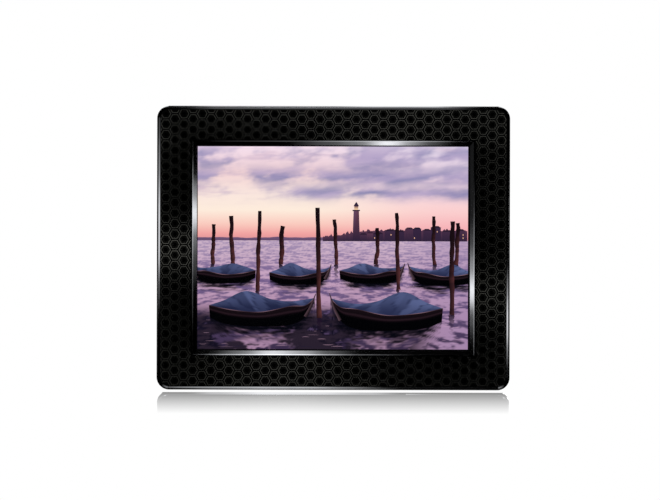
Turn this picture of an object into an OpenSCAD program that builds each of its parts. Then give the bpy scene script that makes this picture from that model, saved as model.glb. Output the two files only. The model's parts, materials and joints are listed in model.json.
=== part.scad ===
// Eight-inch digital photo frame that leans back on a folding easel leg.
// Each module draws one piece in the body frame: X to the right, Y from the face
// to the back, Z up the face, with the origin under the middle of the face.
// stand() then leans the body back until the sloping underside lies flat.

/* [Body] */
// Overall width across the outer trim
body_w = 210.8; // [209:0.2:214]
// Overall height across the outer trim
body_h = 169.5; // [168:0.5:173]
// Corner radius of the outer trim
corner_r = 7.5; // [6:0.5:9]
// Depth of the front housing behind the face
housing_d = 12; // [12:0.5:13]
// Depth of the whole body, without the leg
body_d = 26; // [26:0.5:28]
// Wall thickness of the housing and the rear cover
wall = 2.2; // [2:0.1:2.4]
// Lean of the face from upright, which is also the draft of the housing walls
lean = 15; // [12:1:18]

/* [Screen] */
// Width of the lit area
active_w = 162; // [160:0.5:163]
// Height of the lit area
active_h = 121.5; // [120:0.5:122]
// Width of the bevelled inner trim, from the lit area to the panel
inner_trim_w = 3.6; // [3.2:0.1:4]

/* [Leg] */
// Angle between the open leg and the back
leg_open = 32; // [28:1:36]
// Height of the leg's hinge above the bottom edge
pivot_z = 92; // [90:1:94]
// Thickness of the leg, which is also the diameter of its barrel
leg_t = 6.4; // [6:0.2:6.8]
// Radius of the hinge pin
pin_r = 1.5; // [1.2:0.1:1.6]

/* [Keys] */
// Distance between the keys in their column
key_pitch = 11.5; // [11:0.5:12]
// How far a key moves when it is pressed
key_travel = 0.4; // [0.3:0.05:0.4]

/* [Ports] */
// Radius of the headphone socket
audio_r = 1.8; // [1.78:0.01:1.85]
// Radius of the wall-hook holes in the rear cover
hook_r = 4; // [3.8:0.1:4.2]
// Distance between the two wall-hook holes
hook_gap = 100; // [96:2:104]

/* [Hidden] */
KEYS = ["key_menu", "key_up", "key_left", "key_enter", "key_right", "key_down", "key_exit"];
$fn = 48;
gap = 0.05;             // clearance between pieces that sit against each other
over = 0.5;             // how far a cutting tool runs past a face
zc = body_h / 2;        // height of the middle of the face
arc_steps = 8;          // segments in a quarter of an outline's corner

// Layers behind the face, as distances from it
panel_t = 1.6;          // decorated front panel
seat_y = 3.2;           // back of the housing's front wall
lcd_y = 3.3;            // front of the display module
lcd_back_y = 9;         // back of the display module
chassis_y = 9.2;        // front of the chassis plate
chassis_t = 0.8;
board_y = 12.5;         // front of the main board
board_t = 1.6;
parts_y = board_y + board_t;  // where the parts on the main board stand
flange_t = 2.2;         // thickness of the rear cover's flange
inside_y = body_d - wall;     // inner face of the rear cover's back wall

// Outer trim
trim_w = 2;
trim_y = 0.6;           // where its rounded outer side starts
trim_slope_y = 0.2;     // depth of its inner slope beside the panel

// Display module
lcd_w = 183;
lcd_h = 141;
lcd_skin = 0.3;
lcd_open_w = 166;
lcd_open_h = 125.5;

// Rear bulge
bulge_w = 176;
bulge_h = 136;
bulge_r = 9;
bulge_x = bulge_w / 2;
mouth_x = bulge_x - wall - 0.2;      // plane of the sockets' mouths

// Screws
boss_x = 95.5;
boss_z = 74.8;
boss_r = 2.9;
chassis_boss_z = 42;
tap_r = 1.3;
shank_r = 1.25;
cover_bosses = concat(
    [for (x = [-boss_x, boss_x], z = [-boss_z, boss_z]) [x, z]],
    [for (z = [-boss_z, boss_z]) [0, z]]);
chassis_bosses = [for (x = [-boss_x, boss_x], z = [-chassis_boss_z, chassis_boss_z]) [x, z]];

// Main board, by its edges
board_x0 = -28;
board_x1 = 84;
board_z0 = -26.7;
board_z1 = 64.2;
board_holes = [for (x = [-24, 66], z = [-22.7, 60.2]) [x, z]];

// Sockets on the board's right edge, by the height of their middles
card_z = 39.2;
usb_z = 13.8;
mini_usb_z = -0.3;
audio_z = -10.3;
dc_z = -18.8;
audio_y = parts_y + 3.1;
dc_y = parts_y + 4.4;
audio_depth = 11.5;

// Power switch on the board's top edge
switch_x = 40;
switch_y = parts_y + 2.5;
slider_travel = 2;
slider_l = 4;

// Keys and their board
key_x = -68;
key_z0 = -16.8;
key_w = 9;
key_h = 6;
key_proud = 0.8;
button_board_y = 15.2;
button_bosses = [for (z = [-24.6, 60.2]) [key_x, z]];
tact_top = 21.85;

// Speakers
speaker_x = 58;
speaker_z = -42.8;
speaker_r = 14;
grille_pitch = 3.2;
grille_rings = 3;

// Wall hooks
hook_z = 53.2;
hook_slot = 9;
hook_slot_w = 4;

// Blank label and the recess it is stuck in
label_x = 55;
label_w = 49.4;
label_h = 25.4;
label_recess = 0.4;

// Leg, its recess and hinge
recess_w = 46;
recess_d = 3.5;
recess_top = 101;
pivot_y = body_d;
barrel_x = 15.7;        // half the length of the leg's barrel
ear_x = 16.2;           // inner face of the cover's hinge ears
ear_end = 24.5;
ear_r = 3.6;
leg_half_knee = 19;     // half its width below the barrel, then at its end
leg_half_foot = 21;
pad_t = 1.2;
foot_t = 1;             // rubber feet under the housing

// Where the body stands: the sloping underside is level, foot_t above the table
leg_tilt = leg_open - lean;
pivot_world_y = pivot_y * cos(lean) + pivot_z * sin(lean);
pivot_world_z = pivot_z * cos(lean) - pivot_y * sin(lean) + foot_t;
rear_end = pivot_world_y + leg_t / 2 * cos(leg_tilt)
    + tan(leg_tilt) * (pivot_world_z + leg_t / 2 * sin(leg_tilt) - pad_t);
front_end = trim_y * cos(lean) + trim_w / 2 * sin(lean) - trim_w / 2;
shift_y = -(front_end + rear_end) / 2;

// ---------- helpers ----------

// Points round a rectangle with round corners, anticlockwise from the right
function outline(w, h, r) = [for (c = [0:3], i = [0:arc_steps])
    let (a = 90 * c + 90 * i / arc_steps)
    [(c == 0 || c == 3 ? 1 : -1) * (w / 2 - r) + r * cos(a),
     (c < 2 ? 1 : -1) * (h / 2 - r) + r * sin(a)]];

function corners(w, h) = [[w / 2, h / 2], [-w / 2, h / 2], [-w / 2, -h / 2], [w / 2, -h / 2]];

// Inset of the housing's drafted wall at a depth
function draft(y) = y * tan(lean);

// The body, leaned back and set on the table
module stand() translate([0, shift_y, foot_t]) rotate([-lean, 0, 0]) children();

// Moves to the middle of the face
module mid() translate([0, 0, zc]) children();

// A flat shape across the face, made solid from depth y0 to y1
module plate(y0, y1)
    mid() translate([0, y1, 0]) rotate([90, 0, 0]) linear_extrude(y1 - y0) children();

// A box from its low corner to its high corner, measured from the middle of the face
module block(low, high) mid() translate(low) cube(high - low);

// A round bar along the depth
module post(x, z, r, y0, y1)
    mid() translate([x, y1, z]) rotate([90, 0, 0]) cylinder(r = r, h = y1 - y0);

// A solid through several outlines, each given as [depth, inset]
module loft(w, h, r, levels) {
    n = 4 * (arc_steps + 1);
    last = len(levels) - 1;
    points = [for (l = levels) for (p = outline(w - 2 * l[1], h - 2 * l[1], r - l[1])) [p[0], l[0], p[1]]];
    mid() polyhedron(points, concat(
        [[for (i = [n - 1:-1:0]) i], [for (i = [0:n - 1]) last * n + i]],
        [for (k = [0:last - 1], i = [0:n - 1]) let (j = (i + 1) % n)
            [k * n + i, k * n + j, (k + 1) * n + j, (k + 1) * n + i]]));
}

// A closed ring: profile holds [inset, depth] points, outer front first, then round by the back
module ring_of(rings, profile) {
    n = len(rings[0]);
    m = len(profile);
    points = [for (k = [0:m - 1]) for (p = rings[k]) [p[0], profile[k][1], p[1]]];
    mid() polyhedron(points, [for (k = [0:m - 1], i = [0:n - 1])
        let (j = (i + 1) % n, q = (k + 1) % m) [k * n + i, k * n + j, q * n + j, q * n + i]]);
}

module round_ring(w, h, r, profile)
    ring_of([for (p = profile) outline(w - 2 * p[0], h - 2 * p[0], r - p[0])], profile);

module mitred_ring(w, h, profile)
    ring_of([for (p = profile) corners(w - 2 * p[0], h - 2 * p[0])], profile);

// A pan-head screw along the depth, driven from the back, with a cross in its head
module screw(x, z, head_y, head_r, head_h, tip_y) difference() {
    union() {
        post(x, z, head_r, head_y, head_y + head_h);
        post(x, z, shank_r, tip_y, head_y + gap);
    }
    for (a = [0, 90]) mid() translate([x, head_y + head_h, z]) rotate([0, a, 0])
        cube([head_r * 1.1, head_h, head_r * 0.3], center = true);
}

// A thin strip that follows a path in a plane, before it is extruded
module strip(path, t) for (i = [0:len(path) - 2]) {
    d = path[i + 1] - path[i];
    translate(path[i]) rotate(atan2(d[1], d[0])) translate([0, -t / 2]) square([norm(d), t]);
    if (i > 0) translate(path[i]) rotate(atan2(d[1], d[0])) square(t, center = true);
}

function unit(v) = v / norm(v);
function heading(path, i) = unit(path[min(i + 1, len(path) - 1)] - path[max(i - 1, 0)]);

// A round wire that follows a path
module wire(path, r, sides = 8) {
    n = len(path);
    points = [for (i = [0:n - 1]) let (t = heading(path, i), s = unit(cross(t, [0, 1, 0])), u = cross(s, t))
        for (k = [0:sides - 1]) path[i] + r * (cos(360 * k / sides) * s + sin(360 * k / sides) * u)];
    mid() polyhedron(points, concat(
        [[for (k = [0:sides - 1]) k], [for (k = [sides - 1:-1:0]) (n - 1) * sides + k]],
        [for (i = [0:n - 2], k = [0:sides - 1]) let (m = (k + 1) % sides)
            [i * sides + k, (i + 1) * sides + k, (i + 1) * sides + m, i * sides + m]]));
}

// ---------- face ----------

// Profile: a rounded outer side up to a crest, then a slope down to the panel
module outer_trim() color("#303236") round_ring(body_w, body_h, corner_r, concat(
    [[0, trim_y], [0, panel_t], [trim_w, panel_t], [trim_w, trim_slope_y]],
    [for (a = [90:15:165]) [trim_w / 2 * (1 + cos(a)), trim_y - trim_w / 2 * sin(a)]]));

module front_panel() color("#0a0a0b") plate(0, panel_t) difference() {
    inset = 2 * (trim_w + gap);
    polygon(outline(body_w - inset, body_h - inset, corner_r - inset / 2));
    square([active_w + 2 * (inner_trim_w + gap), active_h + 2 * (inner_trim_w + gap)], center = true);
}

// Profile: a raised rim, a bevel falling to the screen, and a step that drops into the housing
module inner_trim() color("#3a3c40") mitred_ring(active_w + 2 * inner_trim_w, active_h + 2 * inner_trim_w,
    [[0, 0], [0, panel_t], [1.5, panel_t], [1.5, 2.9], [inner_trim_w - 0.6, 2.9],
     [inner_trim_w - 0.6, 1.9], [inner_trim_w - 0.8, 1.7], [0.7, -0.15], [0.5, -0.3], [0.2, -0.3]]);

module screen_gasket() color("#141414") plate(2.95, lcd_y - gap) difference() {
    square([active_w + 2 * inner_trim_w - 3.2, active_h + 2 * inner_trim_w - 3.2], center = true);
    square([active_w + 1.6, active_h + 1.6], center = true);
}

module front_housing() color("#161617") difference() {
    union() {
        difference() {
            loft(body_w, body_h, corner_r, [[panel_t, draft(panel_t)], [housing_d, draft(housing_d)]]);
            loft(body_w, body_h, corner_r,
                [[seat_y, draft(seat_y) + wall], [housing_d + over, draft(housing_d + over) + wall]]);
        }
        for (b = cover_bosses) post(b[0], b[1], boss_r, seat_y - gap, housing_d - gap);
        for (b = chassis_bosses) post(b[0], b[1], boss_r, seat_y - gap, chassis_y - gap);
        locating_ribs();
    }
    block([-active_w / 2 - inner_trim_w + 1.45, 0, -active_h / 2 - inner_trim_w + 1.45],
          [active_w / 2 + inner_trim_w - 1.45, seat_y + over, active_h / 2 + inner_trim_w - 1.45]);
    for (b = cover_bosses) post(b[0], b[1], tap_r, seat_y + 0.8, housing_d + over);
    for (b = chassis_bosses) post(b[0], b[1], tap_r, seat_y + 0.8, chassis_y + over);
}

// Short ribs that hold the display module in place
module locating_ribs() {
    rib = 1.2;
    reach = 12;
    for (s = [-1, 1], x = [-62, 62]) block(
        [x - reach / 2, seat_y - gap, s * (lcd_h / 2 + rib / 2 + 0.15) - rib / 2],
        [x + reach / 2, 8, s * (lcd_h / 2 + rib / 2 + 0.15) + rib / 2]);
    for (s = [-1, 1], z = [-20, 20]) block(
        [s * (lcd_w / 2 + rib / 2 + 0.15) - rib / 2, seat_y - gap, z - reach / 2],
        [s * (lcd_w / 2 + rib / 2 + 0.15) + rib / 2, 8, z + reach / 2]);
}

// ---------- display module ----------

flex_x = [22, 52];      // left and right edges of the display's flexible cable

module lcd_bezel() color("#9a9da0") difference() {
    plate(lcd_y, lcd_back_y) square([lcd_w, lcd_h], center = true);
    plate(lcd_y + lcd_skin, lcd_back_y + over)
        square([lcd_w - 2 * lcd_skin, lcd_h - 2 * lcd_skin], center = true);
    plate(lcd_y - over, lcd_y + over) square([lcd_open_w, lcd_open_h], center = true);
    block([flex_x[0] - 1, 4, -lcd_h / 2 - over], [flex_x[1] + 1, 5, -lcd_h / 2 + over]);
}

module front_polariser() color("#101014") plate(3.65, 3.85) square([165, 124.5], center = true);

module lcd_glass() color("#22262b") plate(3.85, 5.05) square([176, 134], center = true);

module optical_films() color("#f1f3f4") plate(5.1, 5.5) square([174, 132], center = true);

module light_guide() color("#e4eef2") plate(5.55, 7.95) square([170, 129], center = true);

module reflector_sheet() color("#fafafa") plate(8, 8.2) square([172, 131], center = true);

module backlight_frame() color("#ecebe6") plate(5.1, 8.6) difference() {
    square([182.2, 140.2], center = true);
    square([174.4, 132.4], center = true);
}

// A strip of white LEDs along the light guide's lower edge
module led_bar() {
    color("#f4f4f0") block([-80, 5.7, -66.1], [80, 7.9, -65.6]);
    for (x = [-72:12:72]) color("#fff2b0") block([x - 1.8, 6, -65.6], [x + 1.8, 7.6, -64.7]);
}

module lcd_back_plate() color("#b4b7ba") plate(8.65, lcd_back_y) square([182, 140], center = true);

// Leaves the glass, wraps round the module's lower edge and climbs to the main board
module lcd_flex() color("#b5702a") mid() translate([flex_x[0], 0, 0]) rotate([90, 0, 90])
    linear_extrude(flex_x[1] - flex_x[0])
    strip([[4.45, -67.1], [4.45, -71.6], [5, -72.2], [10.6, -72.2], [11.2, -71.6], [11.2, -29.6],
           [11.8, -28.4], [14.2, -27.9], [14.75, -27.3], [14.75, -22.6]], 0.3);

// ---------- chassis and main board ----------

module chassis_plate() color("#c2c5c8") plate(chassis_y, chassis_y + chassis_t) difference() {
    union() {
        square([180, 128], center = true);
        for (z = [-chassis_boss_z, chassis_boss_z]) translate([0, z])
            square([2 * boss_x + 8, 10], center = true);
    }
    for (b = chassis_bosses) translate(b) circle(r = 1.6);
    for (x = [-78, -48]) translate([x, -20]) square([22, 56], center = true);
    for (b = board_holes) translate(b) circle(r = tap_r);
}

module chassis_screws() color("#d0d2d4")
    for (b = chassis_bosses) screw(b[0], b[1], chassis_y + chassis_t, 2.4, 1.5, seat_y + 1.2);

module board_standoffs() color("#c9a14a") for (b = board_holes) difference() {
    mid() translate([b[0], board_y - gap, b[1]]) rotate([90, 0, 0])
        cylinder(r = 2.9, h = board_y - gap - chassis_y - chassis_t, $fn = 6);
    post(b[0], b[1], tap_r, chassis_y, board_y + over);
}

module main_board() color("#12592f") plate(board_y, board_y + board_t) difference() {
    translate([board_x0 + board_x1, board_z0 + board_z1] / 2)
        polygon(outline(board_x1 - board_x0, board_z1 - board_z0, 2.5));
    for (b = board_holes) translate(b) circle(r = 1.6);
}

module board_screws() color("#d0d2d4")
    for (b = board_holes) screw(b[0], b[1], parts_y, 2.4, 1.5, chassis_y + 1);

// A chip with a body and a low rim of pins
module chip(x, z, w, h, t) {
    block([x - w / 2, parts_y + 0.1, z - h / 2], [x + w / 2, parts_y + t, z + h / 2]);
    block([x - w / 2 - 0.7, parts_y, z - h / 2 + 0.6], [x + w / 2 + 0.7, parts_y + 0.3, z + h / 2 - 0.6]);
}

module processor() color("#1b1c1e") chip(10, 22, 20, 20, 1.5);

module memory_chips() color("#202123") {
    chip(34, 32, 10.2, 22, 1.2);
    chip(34, 6, 18.4, 12, 1.2);
    chip(-12, 2, 6, 5, 1.6);
}

// A metal-cased card socket with a slot for the card
module card_socket() color("#c8cbce") difference() {
    block([mouth_x - 29, parts_y, card_z - 14], [mouth_x, parts_y + 3.4, card_z + 14]);
    block([mouth_x - 26.5, parts_y + 0.5, card_z - 12.3], [mouth_x + over, parts_y + 2.9, card_z + 12.3]);
}

// A rectangular socket with a tongue in it, as on a serial-bus port
module tongue_socket(z, w, t, l, cavity_w, cavity_t, depth, tongue_w, tongue_t) {
    y = parts_y + t / 2;
    difference() {
        block([mouth_x - l, parts_y, z - w / 2], [mouth_x, parts_y + t, z + w / 2]);
        block([mouth_x - depth, y - cavity_t / 2, z - cavity_w / 2],
              [mouth_x + over, y + cavity_t / 2, z + cavity_w / 2]);
    }
    block([mouth_x - depth - over, y + 0.2, z - tongue_w / 2],
          [mouth_x - 1.2, y + 0.2 + tongue_t, z + tongue_w / 2]);
}

module usb_socket() color("#c8cbce") tongue_socket(usb_z, 14.4, 7, 14, 12.6, 5.2, 11, 11.2, 1.8);

module mini_usb_socket() color("#c8cbce") tongue_socket(mini_usb_z, 8.2, 4.1, 9.2, 7, 3, 7, 5, 0.8);

module along_x(x0, x1, r) translate([x0, 0, 0]) rotate([0, 90, 0]) cylinder(r = r, h = x1 - x0);

module audio_jack() color("#1a1a1c") difference() {
    union() {
        block([mouth_x - 12, parts_y, audio_z - 3.4], [mouth_x, parts_y + 6.2, audio_z + 3.4]);
        mid() translate([0, audio_y, audio_z]) along_x(mouth_x - 1, mouth_x + 2, 2.8);
    }
    mid() translate([0, audio_y, audio_z]) along_x(mouth_x + 2 - audio_depth, mouth_x + 2 + over, audio_r);
}

module dc_jack() color("#1a1a1c") {
    difference() {
        block([mouth_x - 13, parts_y, dc_z - 4.4], [mouth_x, parts_y + 8.8, dc_z + 4.4]);
        mid() translate([0, dc_y, dc_z]) along_x(mouth_x - 9.5, mouth_x + over, 3.1);
    }
    mid() translate([0, dc_y, dc_z]) along_x(mouth_x - 10, mouth_x - 0.8, 1);
}

module power_switch() color("#b9bcbf") difference() {
    block([switch_x - 5, parts_y, 58.4], [switch_x + 5, switch_y + 2.5, 65.2]);
    block([switch_x - slider_travel - 1.2, switch_y - 1.5, 61.4],
          [switch_x + slider_travel + 1.2, switch_y + 1.5, 65.2 + over]);
}

// The stem stands in the switch and its ribbed knob comes out of the top of the bulge
module power_slider() color("#202022") {
    x0 = switch_x - 1 - slider_l / 2;
    block([x0, switch_y - 1.3, 61.6], [x0 + slider_l, switch_y + 1.3, bulge_h / 2 + 0.7]);
    for (i = [0:2]) block([x0 + 0.3 + 1.3 * i, switch_y - 1.3, bulge_h / 2 + 0.7],
                          [x0 + 1.1 + 1.3 * i, switch_y + 1.3, bulge_h / 2 + 1.2]);
}

module capacitors() color("#3b4a7a") for (x = [38, 47, 56]) post(x, -15.2, 3.2, parts_y, parts_y + 6);

module inductors() color("#2a2b2e") for (x = [40, 51]) difference() {
    block([x - 3.6, parts_y, -9.6], [x + 3.6, parts_y + 3.2, -2.4]);
    post(x, -6, 2.2, parts_y + 2.6, parts_y + 4);
}

module crystal() color("#cfd1d3") block([-14, parts_y, 42], [-3, parts_y + 3.4, 46.6]);

module cell_holder() color("#d9d4c4") difference() {
    post(-12, 24, 7.6, parts_y, parts_y + 2.8);
    post(-12, 24, 6.3, parts_y + 0.6, parts_y + 3.3);
}

module clock_cell() color("#d6d8da") post(-12, 24, 6.25, parts_y + 0.65, parts_y + 2.65);

module board_connectors() color("#efe9d8") {
    block([flex_x[0] - 1, parts_y, -22.5], [flex_x[1] + 1, parts_y + 1.6, -19.5]);
    block([-26, parts_y, 12], [-22, parts_y + 2.6, 22]);
    for (x = [-16, -4]) block([x - 3, parts_y, -24], [x + 3, parts_y + 4, -20.5]);
}

// ---------- keys ----------

function key_z(i) = key_z0 + key_pitch * i;

module button_board() color("#12592f") plate(button_board_y, button_board_y + board_t) difference() {
    translate([key_x - 6, -29]) square([12, 94]);
    for (b = button_bosses) translate(b) circle(r = 1.6);
}

// Driven from the front into bosses inside the rear cover
module button_board_screws() color("#d0d2d4") for (b = button_bosses) {
    post(b[0], b[1], 2.4, button_board_y - 1.5, button_board_y);
    post(b[0], b[1], shank_r, button_board_y - gap, button_board_y + 5.6);
}

module tact_switches() color("#3a3b3e") for (i = [0:len(KEYS) - 1]) {
    y = button_board_y + board_t;
    block([key_x - 3, y, key_z(i) - 3], [key_x + 3, y + 3.5, key_z(i) + 3]);
    post(key_x, key_z(i), 1.7, y + 3.4, tact_top);
}

module button_cable() color("#d8d8d6") mid() translate([0, 0, 13]) linear_extrude(8)
    strip([[-26.2, parts_y + 1], [-34, parts_y + 1], [-36, parts_y + 3.6], [-58, parts_y + 3.6],
           [-61.8, button_board_y + board_t + 0.5]], 0.3);

// A cap with a flange that keeps it inside the cover, and a stub over its switch
module key(i) color("#1d1d1f") {
    plate(inside_y - 0.3 - 1, inside_y - 0.3) translate([key_x, key_z(i)])
        square([key_w + 1.6, key_h + 1.6], center = true);
    plate(inside_y - 0.3, body_d + key_proud) translate([key_x, key_z(i)])
        polygon(outline(key_w, key_h, 1.6));
    post(key_x, key_z(i), 1.6, tact_top + key_travel + gap, inside_y - 1);
}

// ---------- speakers ----------

module each_speaker() for (s = [-1, 1]) translate([s * speaker_x, 0, zc + speaker_z]) children();

module back_post(r, y0, y1) translate([0, y1, 0]) rotate([90, 0, 0]) cylinder(r = r, h = y1 - y0);

module speaker_frames() color("#2b2c2f") each_speaker() difference() {
    union() {
        back_post(speaker_r, inside_y - 2, inside_y - 0.5);
        back_post(speaker_r - 2.5, inside_y - 4.2, inside_y - 1.9);
    }
    back_post(speaker_r - 3.6, inside_y - 3.4, inside_y);
    back_post(speaker_r - 1.4, inside_y - 1.2, inside_y);
}

module speaker_magnets() color("#7c7f83") each_speaker() back_post(8, inside_y - 7.4, inside_y - 4.25);

// A shallow cone with a dust cap in its middle
module speaker_cones() color("#17171a") each_speaker() translate([0, inside_y - 3.3, 0]) rotate([-90, 0, 0])
    rotate_extrude() polygon([[0, 0], [4, 0], [9.6, 1.75], [10.3, 2.2], [12.4, 2.2],
                              [12.4, 2.5], [10, 2.5], [4.6, 0.7], [2.6, 1.5], [0, 1.9]]);

module speaker_gaskets() color("#101011") each_speaker() difference() {
    back_post(speaker_r, inside_y - 0.45, inside_y - gap);
    back_post(speaker_r - 1.6, inside_y - 1, inside_y + 1);
}

// Two wires from each speaker to its connector on the main board
module speaker_leads() for (s = [-1, 1], k = [0, 1]) color(k == 0 ? "#a02020" : "#181818") {
    end_x = s < 0 ? -16 : -4;
    y = 16.2 + 1.2 * k;
    wire([[s * (speaker_x - 9), y, speaker_z + 2 + 2 * k], [s * (speaker_x - 15), y, speaker_z + 4 + 2 * k],
          [s * (speaker_x - 24), y, speaker_z + 7 + 2 * k], [end_x + s * 9 + k, y, speaker_z + 9 + 2 * k],
          [end_x + s * 3 + k, y, -30 + k], [end_x - 0.6 + 1.4 * k, y, -24.1]], 0.45);
}

// ---------- rear cover ----------

module bulge(inset, y0, y1, round_y) loft(bulge_w - 2 * inset, bulge_h - 2 * inset, bulge_r - inset,
    [[y0, 0], [y1 - round_y, 0], [y1 - 0.45 * round_y, 0.12 * round_y],
     [y1 - 0.12 * round_y, 0.45 * round_y], [y1, round_y]]);

module rear_cover() color("#19191a") difference() {
    union() {
        difference() {
            union() {
                loft(body_w, body_h, corner_r,
                    [[housing_d, draft(housing_d)], [housing_d + flange_t, draft(housing_d + flange_t)]]);
                bulge(0, housing_d + 1, body_d, 3);
            }
            bulge(wall, housing_d - over, inside_y, 1.4);
        }
        inner_lip();
        block([-recess_w / 2 - wall, body_d - recess_d - wall, -bulge_h / 2 + 0.3],
              [recess_w / 2 + wall, body_d - recess_d, recess_top - zc + wall]);
        for (s = [-1, 1]) hinge_ear(s);
        each_speaker() difference() {
            back_post(speaker_r + 1.8, inside_y - 3.6, inside_y + gap);
            back_post(speaker_r + 0.2, inside_y - 4, inside_y + 1);
        }
        for (b = button_bosses) post(b[0], b[1], 2.6, button_board_y + board_t + gap, inside_y + gap);
    }
    block([-recess_w / 2, body_d - recess_d, -bulge_h / 2 - over],
          [recess_w / 2, body_d + 5, pivot_z - zc - ear_r]);
    block([-ear_x, body_d - recess_d, -bulge_h / 2 - over], [ear_x, body_d + 5, recess_top - zc]);
    for (b = cover_bosses) {
        post(b[0], b[1], 1.5, housing_d - over, housing_d + 3);
        post(b[0], b[1], 2.8, housing_d + 1.2, housing_d + 3);
    }
    for (b = button_bosses) post(b[0], b[1], tap_r, button_board_y, button_board_y + board_t + 5);
    mid() translate([0, pivot_y, pivot_z - zc]) along_x(-ear_end - 1, ear_end + 1, pin_r + 0.02);
    key_holes();
    hook_holes();
    grilles();
    vents();
    port_holes();
    plate(body_d - label_recess, body_d + over) translate([label_x, 0])
        square([label_w + 0.6, label_h + 0.6], center = true);
}

// A low rim that locates the cover inside the housing
module inner_lip() {
    inset = draft(housing_d) + wall + 0.15;
    round_ring(body_w, body_h, corner_r, [[inset, housing_d - 1], [inset, housing_d + gap],
        [inset + 1.1, housing_d + gap], [inset + 1.1, housing_d - 1]]);
}

module hinge_ear(s) {
    x0 = s > 0 ? ear_x : -ear_end;
    mid() translate([0, pivot_y, pivot_z - zc]) along_x(x0, x0 + ear_end - ear_x, ear_r);
    block([x0, body_d - recess_d - 1, pivot_z - zc - ear_r],
          [x0 + ear_end - ear_x, pivot_y, pivot_z - zc + ear_r]);
}

module key_holes() for (i = [0:len(KEYS) - 1])
    plate(inside_y - over, body_d + over) translate([key_x, key_z(i)])
        polygon(outline(key_w + 0.4, key_h + 0.4, 1.8));

module hook_holes() for (s = [-1, 1]) {
    post(s * hook_gap / 2, hook_z, hook_r, inside_y - over, body_d + over);
    block([s * hook_gap / 2 - hook_slot_w / 2, inside_y - over, hook_z],
          [s * hook_gap / 2 + hook_slot_w / 2, body_d + over, hook_z + hook_slot]);
    post(s * hook_gap / 2, hook_z + hook_slot, hook_slot_w / 2, inside_y - over, body_d + over);
}

// Six-sided holes in a honeycomb over each speaker
module grilles() each_speaker() for (q = [-grille_rings:grille_rings], r = [-grille_rings:grille_rings])
    if (abs(q + r) <= grille_rings)
        translate([grille_pitch * (q + r / 2), body_d + over, grille_pitch * r * sqrt(3) / 2])
            rotate([90, 0, 0]) rotate(30) cylinder(r = 1.15, h = wall + 2 * over, $fn = 6);

module vents() for (x = [-32:8:32])
    plate(inside_y - over, body_d + over) translate([x, 40]) square([2, 22], center = true);

module port_holes() {
    near = bulge_x - wall - over;
    far = bulge_x + over;
    block([near, parts_y + 0.3, card_z - 13], [far, parts_y + 3.1, card_z + 13]);
    block([near, parts_y + 0.3, usb_z - 6.9], [far, parts_y + 6.7, usb_z + 6.9]);
    block([near, parts_y + 0.3, mini_usb_z - 3.9], [far, parts_y + 3.8, mini_usb_z + 3.9]);
    mid() translate([0, audio_y, audio_z]) along_x(near, far, 2.9);
    mid() translate([0, dc_y, dc_z]) along_x(near, far, 3.9);
    block([switch_x - 4, switch_y - 1.5, bulge_h / 2 - wall - over],
          [switch_x + 4, switch_y + 1.5, bulge_h / 2 + over]);
}

module cover_screws() color("#2c2d30") for (b = cover_bosses) screw(b[0], b[1], housing_d + 1.2, 2.5, 1.6, 5);

module rating_label() color("#c9cbcd") plate(body_d - label_recess, body_d - label_recess + 0.3)
    translate([label_x, 0]) square([label_w, label_h], center = true);

// ---------- leg ----------

// Moves to the hinge and opens the leg
module at_hinge() translate([0, pivot_y, pivot_z]) rotate([leg_open, 0, 0]) children();

// The leg's slab, hanging folded from the hinge; it runs on past the table
module leg_slab(shrink) translate([0, leg_t / 2 - shrink, 0]) rotate([90, 0, 0])
    linear_extrude(leg_t - 2 * shrink) polygon(
        [[-barrel_x + shrink, 0], [-barrel_x + shrink, -8], [-leg_half_knee + shrink, -16],
         [-leg_half_foot + shrink, -96], [leg_half_foot - shrink, -96],
         [leg_half_knee - shrink, -16], [barrel_x - shrink, -8], [barrel_x - shrink, 0]]);

module easel_leg() color("#19191a") difference() {
    stand() union() {
        at_hinge() difference() {
            union() {
                leg_slab(0);
                along_x(-barrel_x, barrel_x, leg_t / 2);
            }
            leg_pockets();
            along_x(-barrel_x - 1, barrel_x + 1, pin_r + 0.05);
        }
        leg_heel();
    }
    translate([-leg_half_foot - 5, -100, -60]) cube([2 * leg_half_foot + 10, 200, 60 + pad_t]);
}

// Pockets in the side that faces the frame, with ribs between them
module leg_pockets() for (row = [0:2], s = [-1, 1])
    translate([s * 9 - 7, -leg_t / 2 - over, -32 - 23 * row]) cube([14, 3.8 + over, 20]);

// A heel above the hinge that meets the recess floor and stops the leg
module leg_heel() difference() {
    translate([-barrel_x + 1.7, pivot_y, pivot_z]) rotate([90, 0, 90])
        linear_extrude(2 * barrel_x - 3.4)
            polygon([[-recess_d + gap, -0.5], [-recess_d + gap, 6.5], [-1.6, 6.5], [2.6, 0.6]]);
    translate([0, pivot_y, pivot_z]) along_x(-barrel_x - 1, barrel_x + 1, pin_r + 0.05);
}

module leg_foot() color("#0e0e0e") intersection() {
    stand() at_hinge() leg_slab(0.4);
    translate([-leg_half_foot - 5, -100, 0]) cube([2 * leg_half_foot + 10, 200, pad_t]);
}

module hinge_pin() color("#cdd0d3") translate([0, pivot_y, pivot_z])
    along_x(-ear_end + 0.5, ear_end - 0.5, pin_r);

module hinge_washers() color("#b8bbbe") translate([0, pivot_y, pivot_z]) for (s = [-1, 1]) difference() {
    along_x(s > 0 ? barrel_x + gap : -ear_x + gap, s > 0 ? ear_x - gap : -barrel_x - gap, 3);
    along_x(-ear_end, ear_end, pin_r + 0.05);
}

// Pads under the level underside, set back so that the face hides them
module bottom_feet() color("#0e0e0e") for (s = [-1, 1])
    translate([s * 70, shift_y + 8.4, 0]) linear_extrude(foot_t) polygon(outline(20, 6.8, 1.5));

// ---------- assembly ----------

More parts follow.
